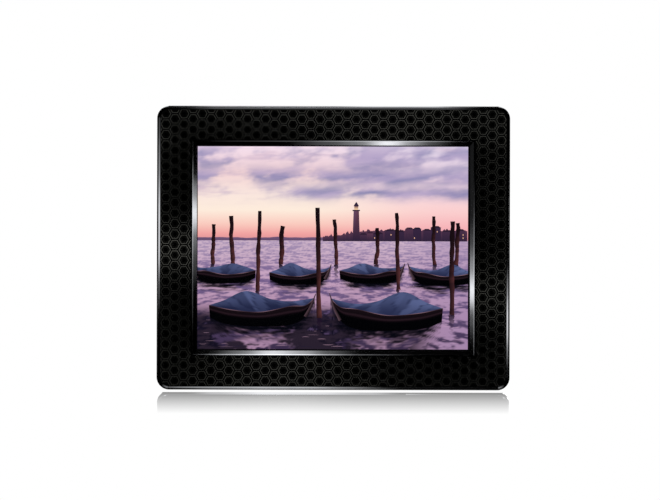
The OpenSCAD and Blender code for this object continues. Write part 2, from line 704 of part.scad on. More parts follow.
stand() outer_trim();
stand() front_panel();
stand() inner_trim();
stand() front_housing();
stand() screen_gasket();
stand() lcd_bezel();
stand() front_polariser();
stand() lcd_glass();
stand() optical_films();
stand() light_guide();
stand() reflector_sheet();
stand() backlight_frame();
stand() led_bar();
stand() lcd_back_plate();
stand() lcd_flex();
stand() chassis_plate();
stand() chassis_screws();
stand() board_standoffs();
stand() main_board();
stand() board_screws();
stand() processor();
stand() memory_chips();
stand() card_socket();
stand() usb_socket();
stand() mini_usb_socket();
stand() audio_jack();
stand() dc_jack();
stand() power_switch();
stand() power_slider();
stand() capacitors();
stand() inductors();
stand() crystal();
stand() cell_holder();
stand() clock_cell();
stand() board_connectors();
stand() button_board();
stand() button_board_screws();
stand() tact_switches();
stand() button_cable();
for (i = [0:len(KEYS) - 1]) stand() key(i);
stand() speaker_frames();
stand() speaker_magnets();
stand() speaker_cones();
stand() speaker_gaskets();
stand() speaker_leads();
stand() rear_cover();
stand() cover_screws();
stand() rating_label();
easel_leg();
leg_foot();
stand() hinge_pin();
stand() hinge_washers();
bottom_feet();
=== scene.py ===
"""The looks of a digital photo frame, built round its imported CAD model.

Shapes on the face are given in millimetres in face space: x to the right, y from the face to the
back, z up, with the origin at the middle of the front panel. FACE turns them into the space that
the part stands in, in metres.
"""

import json
import math
import random

import bmesh
import bpy
from mathutils import Matrix, Vector, noise


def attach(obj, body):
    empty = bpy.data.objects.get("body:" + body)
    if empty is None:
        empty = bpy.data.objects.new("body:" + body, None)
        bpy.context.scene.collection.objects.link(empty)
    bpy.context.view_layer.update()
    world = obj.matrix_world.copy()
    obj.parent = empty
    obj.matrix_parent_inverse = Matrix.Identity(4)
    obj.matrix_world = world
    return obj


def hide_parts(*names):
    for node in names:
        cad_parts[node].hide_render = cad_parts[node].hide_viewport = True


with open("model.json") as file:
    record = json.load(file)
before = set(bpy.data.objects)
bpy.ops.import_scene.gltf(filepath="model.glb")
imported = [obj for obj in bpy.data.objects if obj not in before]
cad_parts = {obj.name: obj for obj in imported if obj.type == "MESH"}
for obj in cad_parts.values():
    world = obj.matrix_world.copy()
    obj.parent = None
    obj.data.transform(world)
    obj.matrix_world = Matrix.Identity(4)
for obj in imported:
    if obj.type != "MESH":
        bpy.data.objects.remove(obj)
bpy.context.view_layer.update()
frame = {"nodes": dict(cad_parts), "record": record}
nodes = frame["nodes"]
mounts = {m["name"]: m for m in frame["record"]["mounts"]}
slot_of = {s["node"]: s["material_slot"] for s in frame["record"]["subparts"]}
body_of = {n: b for b, names in frame["record"]["behaviour"]["bodies"].items() for n in names}
MM = 0.001


# ---------- face space ----------

wall_axis = Vector(mounts["hook_left"]["axis"])
LEAN = math.atan2(-wall_axis.z, wall_axis.y)
TILT = Matrix.Rotation(-LEAN, 4, "X")


def box_in(node, place):
    """Lowest and highest corner of a CAD node, measured in the space that place leads out of."""
    back = place.inverted()
    points = [back @ v.co for v in nodes[node].data.vertices]
    return (Vector([min(p[i] for p in points) for i in range(3)]),
            Vector([max(p[i] for p in points) for i in range(3)]))


panel_low, panel_high = box_in("front_panel", TILT)
panel_middle = (panel_low + panel_high) / 2
FACE = TILT @ Matrix.Translation((panel_middle.x, panel_low.y, panel_middle.z)) @ Matrix.Scale(MM, 4)
PANEL, OUTER, INNER, DISPLAY = (box_in(n, FACE) for n in
                                ("front_panel", "outer_trim", "inner_trim", "front_polariser"))


# ---------- small helpers ----------

def srgb(r, g, b):
    """A colour given as 0 to 255 on a screen, as linear light."""
    return tuple((c / 255 / 12.92) if c <= 10 else ((c / 255 + 0.055) / 1.055) ** 2.4 for c in (r, g, b))


def mix(a, b, t):
    """A colour t of the way from a to b."""
    t = min(1.0, max(0.0, t))
    return tuple(x + (y - x) * t for x, y in zip(a, b))


def smooth(low, high, x):
    """Eases from 0 at low to 1 at high."""
    t = min(1.0, max(0.0, (x - low) / (high - low)))
    return t * t * (3 - 2 * t)


def ramp(stops, x):
    """The colour at x on a list of (position, colour) stops."""
    for (x0, a), (x1, b) in zip(stops, stops[1:]):
        if x <= x1:
            return mix(a, b, (x - x0) / (x1 - x0))
    return stops[-1][1]


def cloudy(x, y, z=0.0, octaves=4):
    """Layered noise from about -1 to 1."""
    return noise.fractal(Vector((x, y, z)), 0.9, 2.0, octaves)


def bell(x, middle, spread):
    return math.exp(-0.5 * ((x - middle) / spread) ** 2)


def added(name, data):
    """A new object in the scene."""
    made = bpy.data.objects.new(name, data)
    bpy.context.scene.collection.objects.link(made)
    return made


# ---------- materials ----------

def surface(name, colour, rough, metallic=0.0, **sockets):
    """A principled material. Other sockets are named with underscores for spaces."""
    material = bpy.data.materials.new(name)
    material.use_nodes = True
    shader = material.node_tree.nodes["Principled BSDF"]
    shader.inputs["Base Color"].default_value = (*colour, 1)
    shader.inputs["Roughness"].default_value = rough
    shader.inputs["Metallic"].default_value = metallic
    for socket, value in sockets.items():
        shader.inputs[socket.replace("_", " ")].default_value = value
    return material


def shader_of(material):
    return material.node_tree.nodes["Principled BSDF"]


def noise_from(material, scale, detail=3.0, stretch=(1, 1, 1)):
    """The output of a noise fixed to the piece, with scale in features per metre."""
    tree = material.node_tree
    place = tree.nodes.new("ShaderNodeTexCoord")
    turn = tree.nodes.new("ShaderNodeMapping")
    turn.inputs["Scale"].default_value = stretch
    texture = tree.nodes.new("ShaderNodeTexNoise")
    texture.inputs["Scale"].default_value = scale
    texture.inputs["Detail"].default_value = detail
    tree.links.new(place.outputs["Object"], turn.inputs["Vector"])
    tree.links.new(turn.outputs["Vector"], texture.inputs["Vector"])
    return texture.outputs[0]


def vary_roughness(material, scale, low, high, stretch=(1, 1, 1)):
    tree = material.node_tree
    spread = tree.nodes.new("ShaderNodeMapRange")
    spread.inputs["From Min"].default_value = 0.3
    spread.inputs["From Max"].default_value = 0.7
    spread.inputs["To Min"].default_value = low
    spread.inputs["To Max"].default_value = high
    tree.links.new(noise_from(material, scale, stretch=stretch), spread.inputs["Value"])
    tree.links.new(spread.outputs["Result"], shader_of(material).inputs["Roughness"])


def vary_colour(material, first, second, scale, stretch=(1, 1, 1)):
    tree = material.node_tree
    blend = tree.nodes.new("ShaderNodeValToRGB")
    for stop, position, colour in zip(blend.color_ramp.elements, (0.35, 0.65), (first, second)):
        stop.position = position
        stop.color = (*colour, 1)
    tree.links.new(noise_from(material, scale, stretch=stretch), blend.inputs["Fac"])
    tree.links.new(blend.outputs["Color"], shader_of(material).inputs["Base Color"])


def add_bump(material, scale, depth):
    """A relief of the given depth in metres."""
    tree = material.node_tree
    bump = tree.nodes.new("ShaderNodeBump")
    bump.inputs["Strength"].default_value = 1.0
    bump.inputs["Distance"].default_value = depth
    tree.links.new(noise_from(material, scale, detail=2.0), bump.inputs["Height"])
    tree.links.new(bump.outputs["Normal"], shader_of(material).inputs["Normal"])


def moulded(name, colour, rough, grain=2600, depth=0.000012):
    """Moulded plastic with a fine spark-eroded grain and faint handling marks."""
    material = surface(name, colour, rough)
    vary_colour(material, tuple(c * 0.94 for c in colour), tuple(c * 1.08 for c in colour), 140)
    vary_roughness(material, 180, rough - 0.03, rough + 0.04)
    add_bump(material, grain, depth)
    return material


def plated(name, colour, rough, stretch=(1, 1, 1), scratch=400):
    """Metal with a drawn or polished surface."""
    material = surface(name, colour, rough, metallic=1.0)
    vary_colour(material, tuple(c * 0.93 for c in colour), colour, 120, stretch)
    vary_roughness(material, scratch, rough * 0.75, rough * 1.3, stretch)
    return material


def rubber(name, colour):
    material = surface(name, colour, 0.75)
    vary_colour(material, colour, tuple(c * 1.5 for c in colour), 300)
    add_bump(material, 1800, 0.00002)
    return material


def film(name, colour, rough, **sockets):
    material = surface(name, colour, rough, **sockets)
    vary_colour(material, tuple(c * 0.95 for c in colour), colour, 35)
    vary_roughness(material, 80, rough - 0.04, rough + 0.05)
    return material


def printed_board():
    """Green solder resist with copper tracks showing through it."""
    material = surface("board_green", (0.01, 0.12, 0.045), 0.35)
    tree = material.node_tree
    place = tree.nodes.new("ShaderNodeTexCoord")
    tracks = tree.nodes.new("ShaderNodeTexBrick")
    tracks.inputs["Scale"].default_value = 160
    tracks.inputs["Mortar Size"].default_value = 0.035
    tracks.inputs["Color1"].default_value = (0.008, 0.11, 0.04, 1)
    tracks.inputs["Color2"].default_value = (0.012, 0.13, 0.05, 1)
    tracks.inputs["Mortar"].default_value = (0.03, 0.24, 0.09, 1)
    tree.links.new(place.outputs["Object"], tracks.inputs["Vector"])
    tree.links.new(tracks.outputs["Color"], shader_of(material).inputs["Base Color"])
    vary_roughness(material, 200, 0.28, 0.42)
    return material


def take_paint(material, socket):
    """Feeds a socket of the material from the piece's own paint."""
    tree = material.node_tree
    paint = tree.nodes.new("ShaderNodeAttribute")
    paint.attribute_name = "paint"
    tree.links.new(paint.outputs["Color"], shader_of(material).inputs[socket])


def painted(name, rough, **sockets):
    """A material that takes its colour from the piece's own paint, with a fine mottle."""
    material = surface(name, (0, 0, 0), rough, **sockets)
    take_paint(material, "Base Color")
    vary_roughness(material, 150, rough * 0.8, rough * 1.3)
    return material


def lit_picture():
    """Light from the display: its colour is the picture's paint."""
    material = surface("picture_light", (0, 0, 0), 0.3, Emission_Strength=1.0)
    take_paint(material, "Emission Color")
    return material


def make_materials():
    made = {
        "dark_chrome": plated("dark_chrome", (0.62, 0.63, 0.66), 0.06, scratch=900),
        "gloss_black": surface("gloss_black", (0.0015, 0.0015, 0.0016), 0.07, Coat_Weight=0.4,
                               Coat_Roughness=0.03),
        "black_case": moulded("black_case", (0.016, 0.016, 0.017), 0.42),
        "key_black": moulded("key_black", (0.035, 0.035, 0.037), 0.34, grain=5000, depth=0.000004),
        "black_rubber": rubber("black_rubber", (0.014, 0.014, 0.014)),
        "screen": film("screen", (0.004, 0.004, 0.005), 0.2),
        "display_glass": film("display_glass", (0.03, 0.035, 0.04), 0.08),
        "plated_steel": plated("plated_steel", (0.56, 0.57, 0.58), 0.32, (1, 12, 1)),
        "film_white": film("film_white", (0.85, 0.86, 0.87), 0.4),
        "light_guide_clear": film("light_guide_clear", (0.78, 0.86, 0.9), 0.12,
                                  Transmission_Weight=0.7),
        "white_plastic": moulded("white_plastic", (0.82, 0.81, 0.77), 0.5),
        "led_white": film("led_white", (0.88, 0.86, 0.7), 0.3),
        "polyimide": film("polyimide", (0.42, 0.17, 0.04), 0.3),
        "screw_steel": plated("screw_steel", (0.6, 0.61, 0.62), 0.25),
        "screw_black": plated("screw_black", (0.07, 0.07, 0.075), 0.3),
        "brass": plated("brass", (0.75, 0.52, 0.2), 0.22),
        "board_green": printed_board(),
        "chip_black": moulded("chip_black", (0.018, 0.018, 0.02), 0.5),
        "socket_metal": plated("socket_metal", (0.66, 0.67, 0.68), 0.2),
        "socket_black": moulded("socket_black", (0.02, 0.02, 0.022), 0.38),
        "can_metal": plated("can_metal", (0.6, 0.61, 0.62), 0.28),
        "ferrite": moulded("ferrite", (0.05, 0.05, 0.055), 0.7),
        "ivory_plastic": moulded("ivory_plastic", (0.8, 0.76, 0.62), 0.45),
        "cable_grey": film("cable_grey", (0.6, 0.6, 0.58), 0.4),
        "cone_paper": moulded("cone_paper", (0.025, 0.025, 0.027), 0.8, grain=900, depth=0.00003),
        "wire_cover": film("wire_cover", (0.12, 0.02, 0.02), 0.45),
        "label_paper": film("label_paper", (0.5, 0.51, 0.52), 0.42),
        "label_ink": film("label_ink", (0.06, 0.06, 0.065), 0.5),
        "pin_steel": plated("pin_steel", (0.6, 0.61, 0.62), 0.2, (14, 1, 1)),
        "honeycomb": painted("honeycomb", 0.09, Coat_Weight=0.4, Coat_Roughness=0.03),
        "picture": lit_picture(),
        "key_print": film("key_print", (0.6, 0.6, 0.6), 0.45),
    }
    vary_roughness(made["gloss_black"], 70, 0.05, 0.1)
    return made


MATERIALS = make_materials()
for name, node in nodes.items():
    node.data.materials.clear()
    node.data.materials.append(MATERIALS[slot_of[name]])


# ---------- making pieces ----------

def finish_mesh(mesh, material, sharp=30):
    """Turns faces outwards and shades the mesh smooth up to the sharp angle, in degrees."""
    shape = bmesh.new()
    shape.from_mesh(mesh)
    bmesh.ops.recalc_face_normals(shape, faces=shape.faces)
    shape.to_mesh(mesh)
    shape.free()
    for polygon in mesh.polygons:
        polygon.use_smooth = True
    mesh.set_sharp_from_angle(angle=math.radians(sharp))
    mesh.materials.clear()
    mesh.materials.append(MATERIALS[material])


def piece(name, verts, faces, material, slot, body="frame", replaces=(), sharp=30):
    """A closed piece from points in face space."""
    mesh = bpy.data.meshes.new(name)
    mesh.from_pydata([FACE @ Vector(v) for v in verts], [], faces)
    finish_mesh(mesh, material, sharp)
    made = added(name, mesh)
    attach(made, body)
    if replaces:
        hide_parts(*replaces)
    return made


def outline(w, h, r, steps):
    """Points round a rectangle with round corners, anticlockwise from the right."""
    points = []
    for corner, (sx, sz) in enumerate(((1, 1), (-1, 1), (-1, -1), (1, -1))):
        for i in range(steps + 1):
            a = math.radians(90 * (corner + i / steps))
            points.append((sx * (w / 2 - r) + r * math.cos(a), sz * (h / 2 - r) + r * math.sin(a)))
    return points


def rectangle(w, h):
    return [(w / 2, h / 2), (-w / 2, h / 2), (-w / 2, -h / 2), (w / 2, -h / 2)]


def ring_faces(rings, count):
    """Faces of a closed tube through rings of count points each."""
    return [(k * count + i, k * count + (i + 1) % count,
             (k + 1) % rings * count + (i + 1) % count, (k + 1) % rings * count + i)
            for k in range(rings) for i in range(count)]


def softened(node, radius, segments=2):
    """Makes a copy of a CAD node with its sharp edges rounded, which stands for it."""
    sharp, nearly_flat, same_place = 32, 0.6, 1e-6
    mesh = nodes[node].data.copy()
    shape = bmesh.new()
    shape.from_mesh(mesh)
    bmesh.ops.remove_doubles(shape, verts=shape.verts, dist=same_place)
    bmesh.ops.dissolve_limit(shape, angle_limit=math.radians(nearly_flat), verts=shape.verts,
                             edges=shape.edges)
    shape.to_mesh(mesh)
    shape.free()
    made = added("fine_" + node, mesh)
    for polygon in mesh.polygons:
        polygon.use_smooth = True
    bevel = made.modifiers.new("edges", "BEVEL")
    bevel.width = radius * MM
    bevel.segments = segments
    bevel.limit_method = "ANGLE"
    bevel.angle_limit = math.radians(sharp)
    bevel.harden_normals = True
    flat = made.modifiers.new("normals", "WEIGHTED_NORMAL")
    flat.weight = 100
    flat.keep_sharp = True
    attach(made, body_of[node])
    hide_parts(node)


# ---------- trims ----------

# slopes of the trims to the face, in degrees, which the light cards are set by
RIM, BEVEL, RING = 17.0, 40.4, 31.0
CORNER_DIP = 0.12       # how much lower the outer trim's crest is round each corner


def make_outer_trim():
    """A steep, faintly rounded outer side up to a crest, then a slope that falls to the panel."""
    low, high = OUTER
    w, h = high.x - low.x, high.z - low.z
    width, corner, foot_y, corner_steps = 1.9, 7.5, 0.15, 20
    side_w, side_top, side_drop, side_bow = 0.76, 0.912, 1.28, 0.12
    shoulder_y, crest_y = low.y + 0.016, low.y + 0.012
    crest_zone = -0.3       # nearer the viewer than this, a point belongs to the crest
    side = [(side_w * t, side_top - side_drop * t - side_bow * math.sin(math.pi * t))
            for t in (i / 8 for i in range(9))]
    crest = [(0.9, shoulder_y), (1.0, crest_y)]
    profile = [(0, high.y)] + side + crest + [(width, foot_y), (width, high.y)]
    rings = [outline(w - 2 * u, h - 2 * u, corner - u, corner_steps) for u, y in profile]

    def eased_down(x, z):
        """How far the crest sinks at a point: only within the corners, and eased at their ends."""
        turn = math.atan2(max(0, abs(z) - h / 2 + corner), max(1e-6, abs(x) - w / 2 + corner))
        start, full, end = 0.08, 0.2, math.pi / 2
        return CORNER_DIP * smooth(start, full, turn) * smooth(end - start, end - full, turn)

    verts = [(x, y + (eased_down(x, z) if y < crest_zone else 0), z)
             for (_, y), ring in zip(profile, rings) for x, z in ring]
    piece("outer_trim_ring", verts, ring_faces(len(profile), len(rings[0])), "dark_chrome",
          "dark_chrome", replaces=("outer_trim",), sharp=24)


def make_inner_trim():
    """A flat edge, a slightly tilted rim, then a faintly hollow bevel that falls to the screen."""
    low, high = INNER
    w, h = high.x - low.x, high.z - low.z
    crest, edge, rim, foot_u = low.y, 0.4, 0.95, 2.97
    rim_y = crest + (rim - edge) * math.tan(math.radians(RIM))
    foot_y = rim_y + (foot_u - rim) * math.tan(math.radians(BEVEL))
    slope = [(rim + (foot_u - rim) * t, rim_y + (foot_y - rim_y) * t + 0.05 * math.sin(math.pi * t))
             for t in (i / 10 for i in range(11))]
    profile = ([(0, high.y - 1.3), (0, crest), (edge, crest)] + slope
               + [(3.0, 2.0), (3.0, high.y), (1.5, high.y), (1.5, high.y - 1.3)])
    rings = [rectangle(w - 2 * u, h - 2 * u) for u, y in profile]
    verts = [(x, profile[k][1], z) for k, ring in enumerate(rings) for x, z in ring]
    piece("inner_trim_bevel", verts, ring_faces(len(profile), 4), "dark_chrome", "dark_chrome",
          replaces=("inner_trim",), sharp=16)


make_outer_trim()
make_inner_trim()


# ---------- honeycomb ----------

CELL = 6.25             # across a cell's flats
COLUMN = 5.41           # between columns
OUTLINE_OUT = 2.68      # outer and inner half-widths of a cell's outline
OUTLINE_IN = 2.3
DOT = 1.15              # radius of a cell's dot
TILE = 2.85             # half-width of a cell's tile
MARGIN = 0.3            # between the pattern and the panel's edges
ROW_STARTS = (1.85, -1.29)      # height of the middle row in even and odd columns


def cells():
    """Middles of all cells that reach the panel."""
    high, inner = PANEL[1], INNER[1]
    columns = int(high.x / COLUMN) + 2
    rows = int(high.z / CELL) + 2
    for i in range(-columns, columns):
        x = (i + 0.5) * COLUMN
        start = ROW_STARTS[i % 2]
        for z in (start + CELL * j for j in range(-rows, rows + 1)):
            if abs(x) > inner.x - 4 or abs(z) > inner.z - 4:
                yield x, z


def hexagon(x, z, half):
    r = half / math.cos(math.pi / 6)
    return [(x + r * math.cos(math.radians(60 * k)), z + r * math.sin(math.radians(60 * k)))
            for k in range(6)]


def circle(x, z, r, sides=20):
    return [(x + r * math.cos(math.tau * k / sides), z + r * math.sin(math.tau * k / sides))
            for k in range(sides)]


def stacked(loops):
    """A closed solid through loops of (outline points, depth), capped at both ends."""
    n = len(loops[0][0])
    verts = [(x, y, z) for points, y in loops for x, z in points]
    faces = [(k * n + i, k * n + (i + 1) % n, (k + 1) * n + (i + 1) % n, (k + 1) * n + i)
             for k in range(len(loops) - 1) for i in range(n)]
    last = (len(loops) - 1) * n
    return verts, faces + [tuple(range(n)), tuple(range(last + n - 1, last - 1, -1))]


def gathered(solids):
    verts, faces = [], []
    for v, f in solids:
        faces += [tuple(i + len(verts) for i in face) for face in f]
        verts += v
    return verts, faces


def trimmed(name, solids):
    """Solids cut to the shape of the front panel, as one piece."""
    verts, faces = gathered(solids)
    made = piece(name, verts, faces, "honeycomb", "gloss_black")
    low, high = PANEL
    inner_low, inner_high = INNER
    w, h = high.x - low.x - 2 * MARGIN, high.z - low.z - 2 * MARGIN
    edge = outline(w, h, 5.2, 12)
    keep = stacked([(edge, -2), (edge, 2)])
    w, h = inner_high.x - inner_low.x + 2 * MARGIN, inner_high.z - inner_low.z + 2 * MARGIN
    cut = stacked([(rectangle(w, h), -3), (rectangle(w, h), 3)])
    for operation, tool in (("INTERSECT", keep), ("DIFFERENCE", cut)):
        mesh = bpy.data.meshes.new("tool")
        mesh.from_pydata([FACE @ Vector(v) for v in tool[0]], [], tool[1])
        finish_mesh(mesh, "honeycomb")
        cutter = added("tool", mesh)
        trim = made.modifiers.new("trim", "BOOLEAN")
        trim.operation = operation
        trim.solver = "MANIFOLD"
        trim.object = cutter
        bpy.context.view_layer.update()
        evaluated = made.evaluated_get(bpy.context.evaluated_depsgraph_get())
        shaped = bpy.data.meshes.new_from_object(evaluated)
        made.modifiers.clear()
        made.data = shaped
        bpy.data.objects.remove(cutter)
    for polygon in made.data.polygons:
        polygon.use_smooth = False
    return made


def paint(made, colour_at):
    """Gives every point of a piece a colour by its place in face space."""
    back = FACE.inverted()
    layer = made.data.attributes.new("paint", "FLOAT_COLOR", "POINT")
    for i, v in enumerate(made.data.vertices):
        layer.data[i].color = (*colour_at(back @ v.co), 1)


def painted_sheen(p):
    """Painted sheen: how much the pattern's colour is brightened at a place, most beside each trim's
    highlight.
    """
    inner, outer = INNER[1], PANEL[1]
    out = min(1, max(0, (abs(p.x) - inner.x) / (outer.x - inner.x),
                     (abs(p.z) - inner.z) / (outer.z - inner.z)))
    top, bottom = smooth(inner.z - 8, inner.z, p.z), smooth(inner.z - 8, inner.z, -p.z)
    right, left = smooth(inner.x - 6, inner.x, p.x), smooth(inner.x - 6, inner.x, -p.x)
    # painted sheen: a faint base that rises towards the outer edge, then a painted glint beside each trim's
    # highlight
    clear = 0.05 + 0.09 * out
    clear += top * (0.03 + 0.13 * out + (0.36 - 0.17 * out) * bell(p.x, 37, 35))
    clear += bottom * (0.05 * smooth(60, -60, p.x) + (0.38 - 0.08 * out) * bell(p.x, -28, 31))
    clear += left * (0.7 - 0.1 * out) * bell(p.z, -1, 9.5)
    clear += right * (0.06 * smooth(10, 50, p.z) + 0.37 * bell(p.z, -28, 11))
    return clear


def make_honeycomb():
    """Tiles with a raised outline and a dot in each, all faintly proud of the panel."""
    tiles, lines, dots = [], [], []
    for x, z in cells():
        tiles.append(stacked([(hexagon(x, z, TILE), 0.05), (hexagon(x, z, TILE), -0.012),
                              (hexagon(x, z, 2.8), -0.02)]))
        outer, inner = hexagon(x, z, OUTLINE_OUT), hexagon(x, z, OUTLINE_IN)
        verts = [(px, y, pz) for loop, y in ((outer, 0.02), (outer, -0.05), (inner, -0.05), (inner, 0.02))
                 for px, pz in loop]
        lines.append((verts, ring_faces(4, 6)))
        dots.append(stacked([(circle(x, z, DOT), 0.02), (circle(x, z, DOT), -0.032),
                             (circle(x, z, DOT - 0.08), -0.042)]))
    for name, solids, colour in (("honeycomb_tiles", tiles, srgb(15, 15, 14)),
                                 ("honeycomb_lines", lines, srgb(84, 84, 79)),
                                 ("honeycomb_dots", dots, srgb(1, 1, 1))):
        made = trimmed(name, solids)
        # the tiles, lines and dots are painted brighter or darker by place: a painted sheen, not their own
        # colour
        paint(made, lambda p, c=colour: tuple(x * painted_sheen(p) for x in c))


make_honeycomb()


# ---------- picture on the display ----------

SCREEN_W, SCREEN_H = 161.8, 121.3
SCREEN_AT = (-0.35, 0.1)        # how far the lit area sits off the middle of its opening
HORIZON = 4.6           # height of the horizon above the middle of the lit area
LAYER = 0.012           # depth between two layers of the picture
layers = {"count": 0}
picture = {"verts": [], "faces": [], "paint": []}


def next_depth():
    """Depth of the next layer of the picture, each one nearer the viewer than the last."""
    layers["count"] += 1
    return DISPLAY[0].y - 0.02 - LAYER * layers["count"]


def inside(x, z):
    """Keeps a point within the lit area."""
    return (min(SCREEN_W / 2, max(-SCREEN_W / 2, x)), min(SCREEN_H / 2, max(-SCREEN_H / 2, z)))


def fill(points, colours, depth, faces=None):
    """Adds a flat shape. Points outside the lit area are brought to its edge."""
    start = len(picture["verts"])
    for (x, z), colour in zip(points, colours):
        x, z = inside(x, z)
        picture["verts"].append((x + SCREEN_AT[0], depth, z + SCREEN_AT[1]))
        picture["paint"].append(colour)
    faces = faces or [tuple(range(len(points)))]
    picture["faces"] += [tuple(start + i for i in face) for face in faces]


def grid(x0, x1, z0, z1, step, colour_at):
    """A fine sheet whose colour follows a function of place."""
    nx, nz = math.ceil((x1 - x0) / step), math.ceil((z1 - z0) / step)
    points = [(x0 + (x1 - x0) * i / nx, z0 + (z1 - z0) * j / nz)
              for j in range(nz + 1) for i in range(nx + 1)]
    faces = [(j * (nx + 1) + i, j * (nx + 1) + i + 1, (j + 1) * (nx + 1) + i + 1, (j + 1) * (nx + 1) + i)
             for j in range(nz) for i in range(nx)]
    fill(points, [colour_at(x, z) for x, z in points], next_depth(), faces)


def sky_colour(x, z):
    """Peach near the horizon, cream and pink above it, and long loose bands of lavender cloud."""
    height = (z - HORIZON) / (SCREEN_H / 2 - HORIZON)
    across = x / SCREEN_W + 0.5
    left = ramp([(0, srgb(222, 146, 150)), (0.07, srgb(242, 164, 162)), (0.17, srgb(250, 202, 190)),
                 (0.32, srgb(254, 236, 220)), (0.5, srgb(250, 230, 222)), (0.72, srgb(246, 214, 214)),
                 (1, srgb(244, 222, 236))], height)
    right = ramp([(0, srgb(222, 140, 150)), (0.1, srgb(246, 174, 180)), (0.3, srgb(251, 206, 206)),
                  (0.6, srgb(250, 224, 230)), (1, srgb(228, 216, 236))], height)
    colour = mix(left, right, smooth(0.35, 0.95, across))
    haze = cloudy(x * 0.018, z * 0.16, 3.1) + 0.35 * cloudy(x * 0.06, z * 0.55, 6.0)
    colour = mix(colour, srgb(206, 180, 202), 0.6 * smooth(0.1, 0.8, haze) * smooth(0.3, 0.6, height))
    drift = z - 0.12 * x
    for k, (level, thick) in enumerate(((0.52, 0.05), (0.69, 0.07), (0.9, 0.11))):
        edge = cloudy(x * 0.02, 5.0 * k, 4.4) * 0.6 + 0.35 * cloudy(x * 0.07, drift * 0.2, 7.7 + k)
        cloud = bell(height + 0.07 * edge, level, thick) * smooth(-0.25, 0.35, edge + 0.2)
        tone = 0.5 + 0.9 * cloudy(x * 0.03, drift * 0.2, 1.3 + k)
        colour = mix(colour, mix(srgb(118, 120, 170), srgb(176, 160, 198), tone), 0.9 * cloud)
    return colour


def water_colour(x, z):
    """Lilac ripples that grow towards the viewer, with dark water below the boats."""
    depth = (HORIZON - z) / (HORIZON + SCREEN_H / 2)
    across = x / SCREEN_W + 0.5
    size = 0.3 + 1.5 * depth
    ripple = cloudy(x * 0.06 / size, z * 0.85 / size, 5.0, 5)
    fine = cloudy(x * 0.22 / size, z * 2.4 / size, 9.0, 3)
    swell = ripple + 0.6 * fine
    light = ramp([(0, srgb(206, 180, 200)), (0.3, srgb(198, 164, 192)), (0.7, srgb(176, 138, 170)),
                  (1, srgb(164, 130, 160))], depth)
    light = mix(light, srgb(162, 136, 178), 0.5 * smooth(0.7, 1, across))
    dark = ramp([(0, srgb(170, 148, 182)), (0.3, srgb(120, 98, 144)), (1, srgb(58, 44, 72))], depth)
    sharp = 0.4 - 0.2 * depth
    colour = mix(dark, light, smooth(-sharp - 0.06, sharp - 0.06, swell))
    shadow = smooth(-0.3, 0.12, 0.5 * math.sin(x * 0.085 + 2.1) + 0.9 * ripple + 0.7 * fine)
    shadow *= smooth(0.55, 0.72, depth) * (1 - smooth(0.76, 0.9, across))
    return mix(colour, srgb(10, 10, 25), 0.95 * shadow)


def strip_along(points, widths, colours, depth):
    """A band that follows points, with a width and a pair of colours (left, right) at each."""
    verts, paints = [], []
    for i, (x, z) in enumerate(points):
        ax, az = points[max(0, i - 1)]
        bx, bz = points[min(len(points) - 1, i + 1)]
        length = math.hypot(bx - ax, bz - az)
        nx, nz = -(bz - az) / length, (bx - ax) / length
        verts += [(x + side * nx * widths[i] / 2, z + side * nz * widths[i] / 2) for side in (1, -1)]
        paints += list(colours[i])
    fill(verts, paints, depth, [(2 * i, 2 * i + 1, 2 * i + 3, 2 * i + 2) for i in range(len(points) - 1)])


def curve(controls, steps=10):
    """A smooth line through its control points."""
    padded = [controls[0], *controls, controls[-1]]
    line = []
    for a, b, c, d in zip(padded, padded[1:], padded[2:], padded[3:]):
        for i in range(steps):
            t = i / steps
            line.append(tuple(0.5 * (2 * q + (r - p) * t + (2 * p - 5 * q + 4 * r - s) * t * t
                                     + (3 * q - p - 3 * r + s) * t ** 3) for p, q, r, s in zip(a, b, c, d)))
    return line + [controls[-1]]


def patch(upper, lower, rows, colour_at):
    """The area between two lines, coloured by place along (0 to 1) and down (0 to 1) it."""
    count = len(upper)
    points, colours = [], []
    for j in range(rows + 1):
        down = j / rows
        for i, ((ax, az), (bx, bz)) in enumerate(zip(upper, lower)):
            x, z = ax + (bx - ax) * down, az + (bz - az) * down
            points.append((x, z))
            colours.append(colour_at(i / (count - 1), down, x, z))
    fill(points, colours, next_depth(),
         [(j * count + i, j * count + i + 1, (j + 1) * count + i + 1, (j + 1) * count + i)
          for j in range(rows) for i in range(count - 1)])


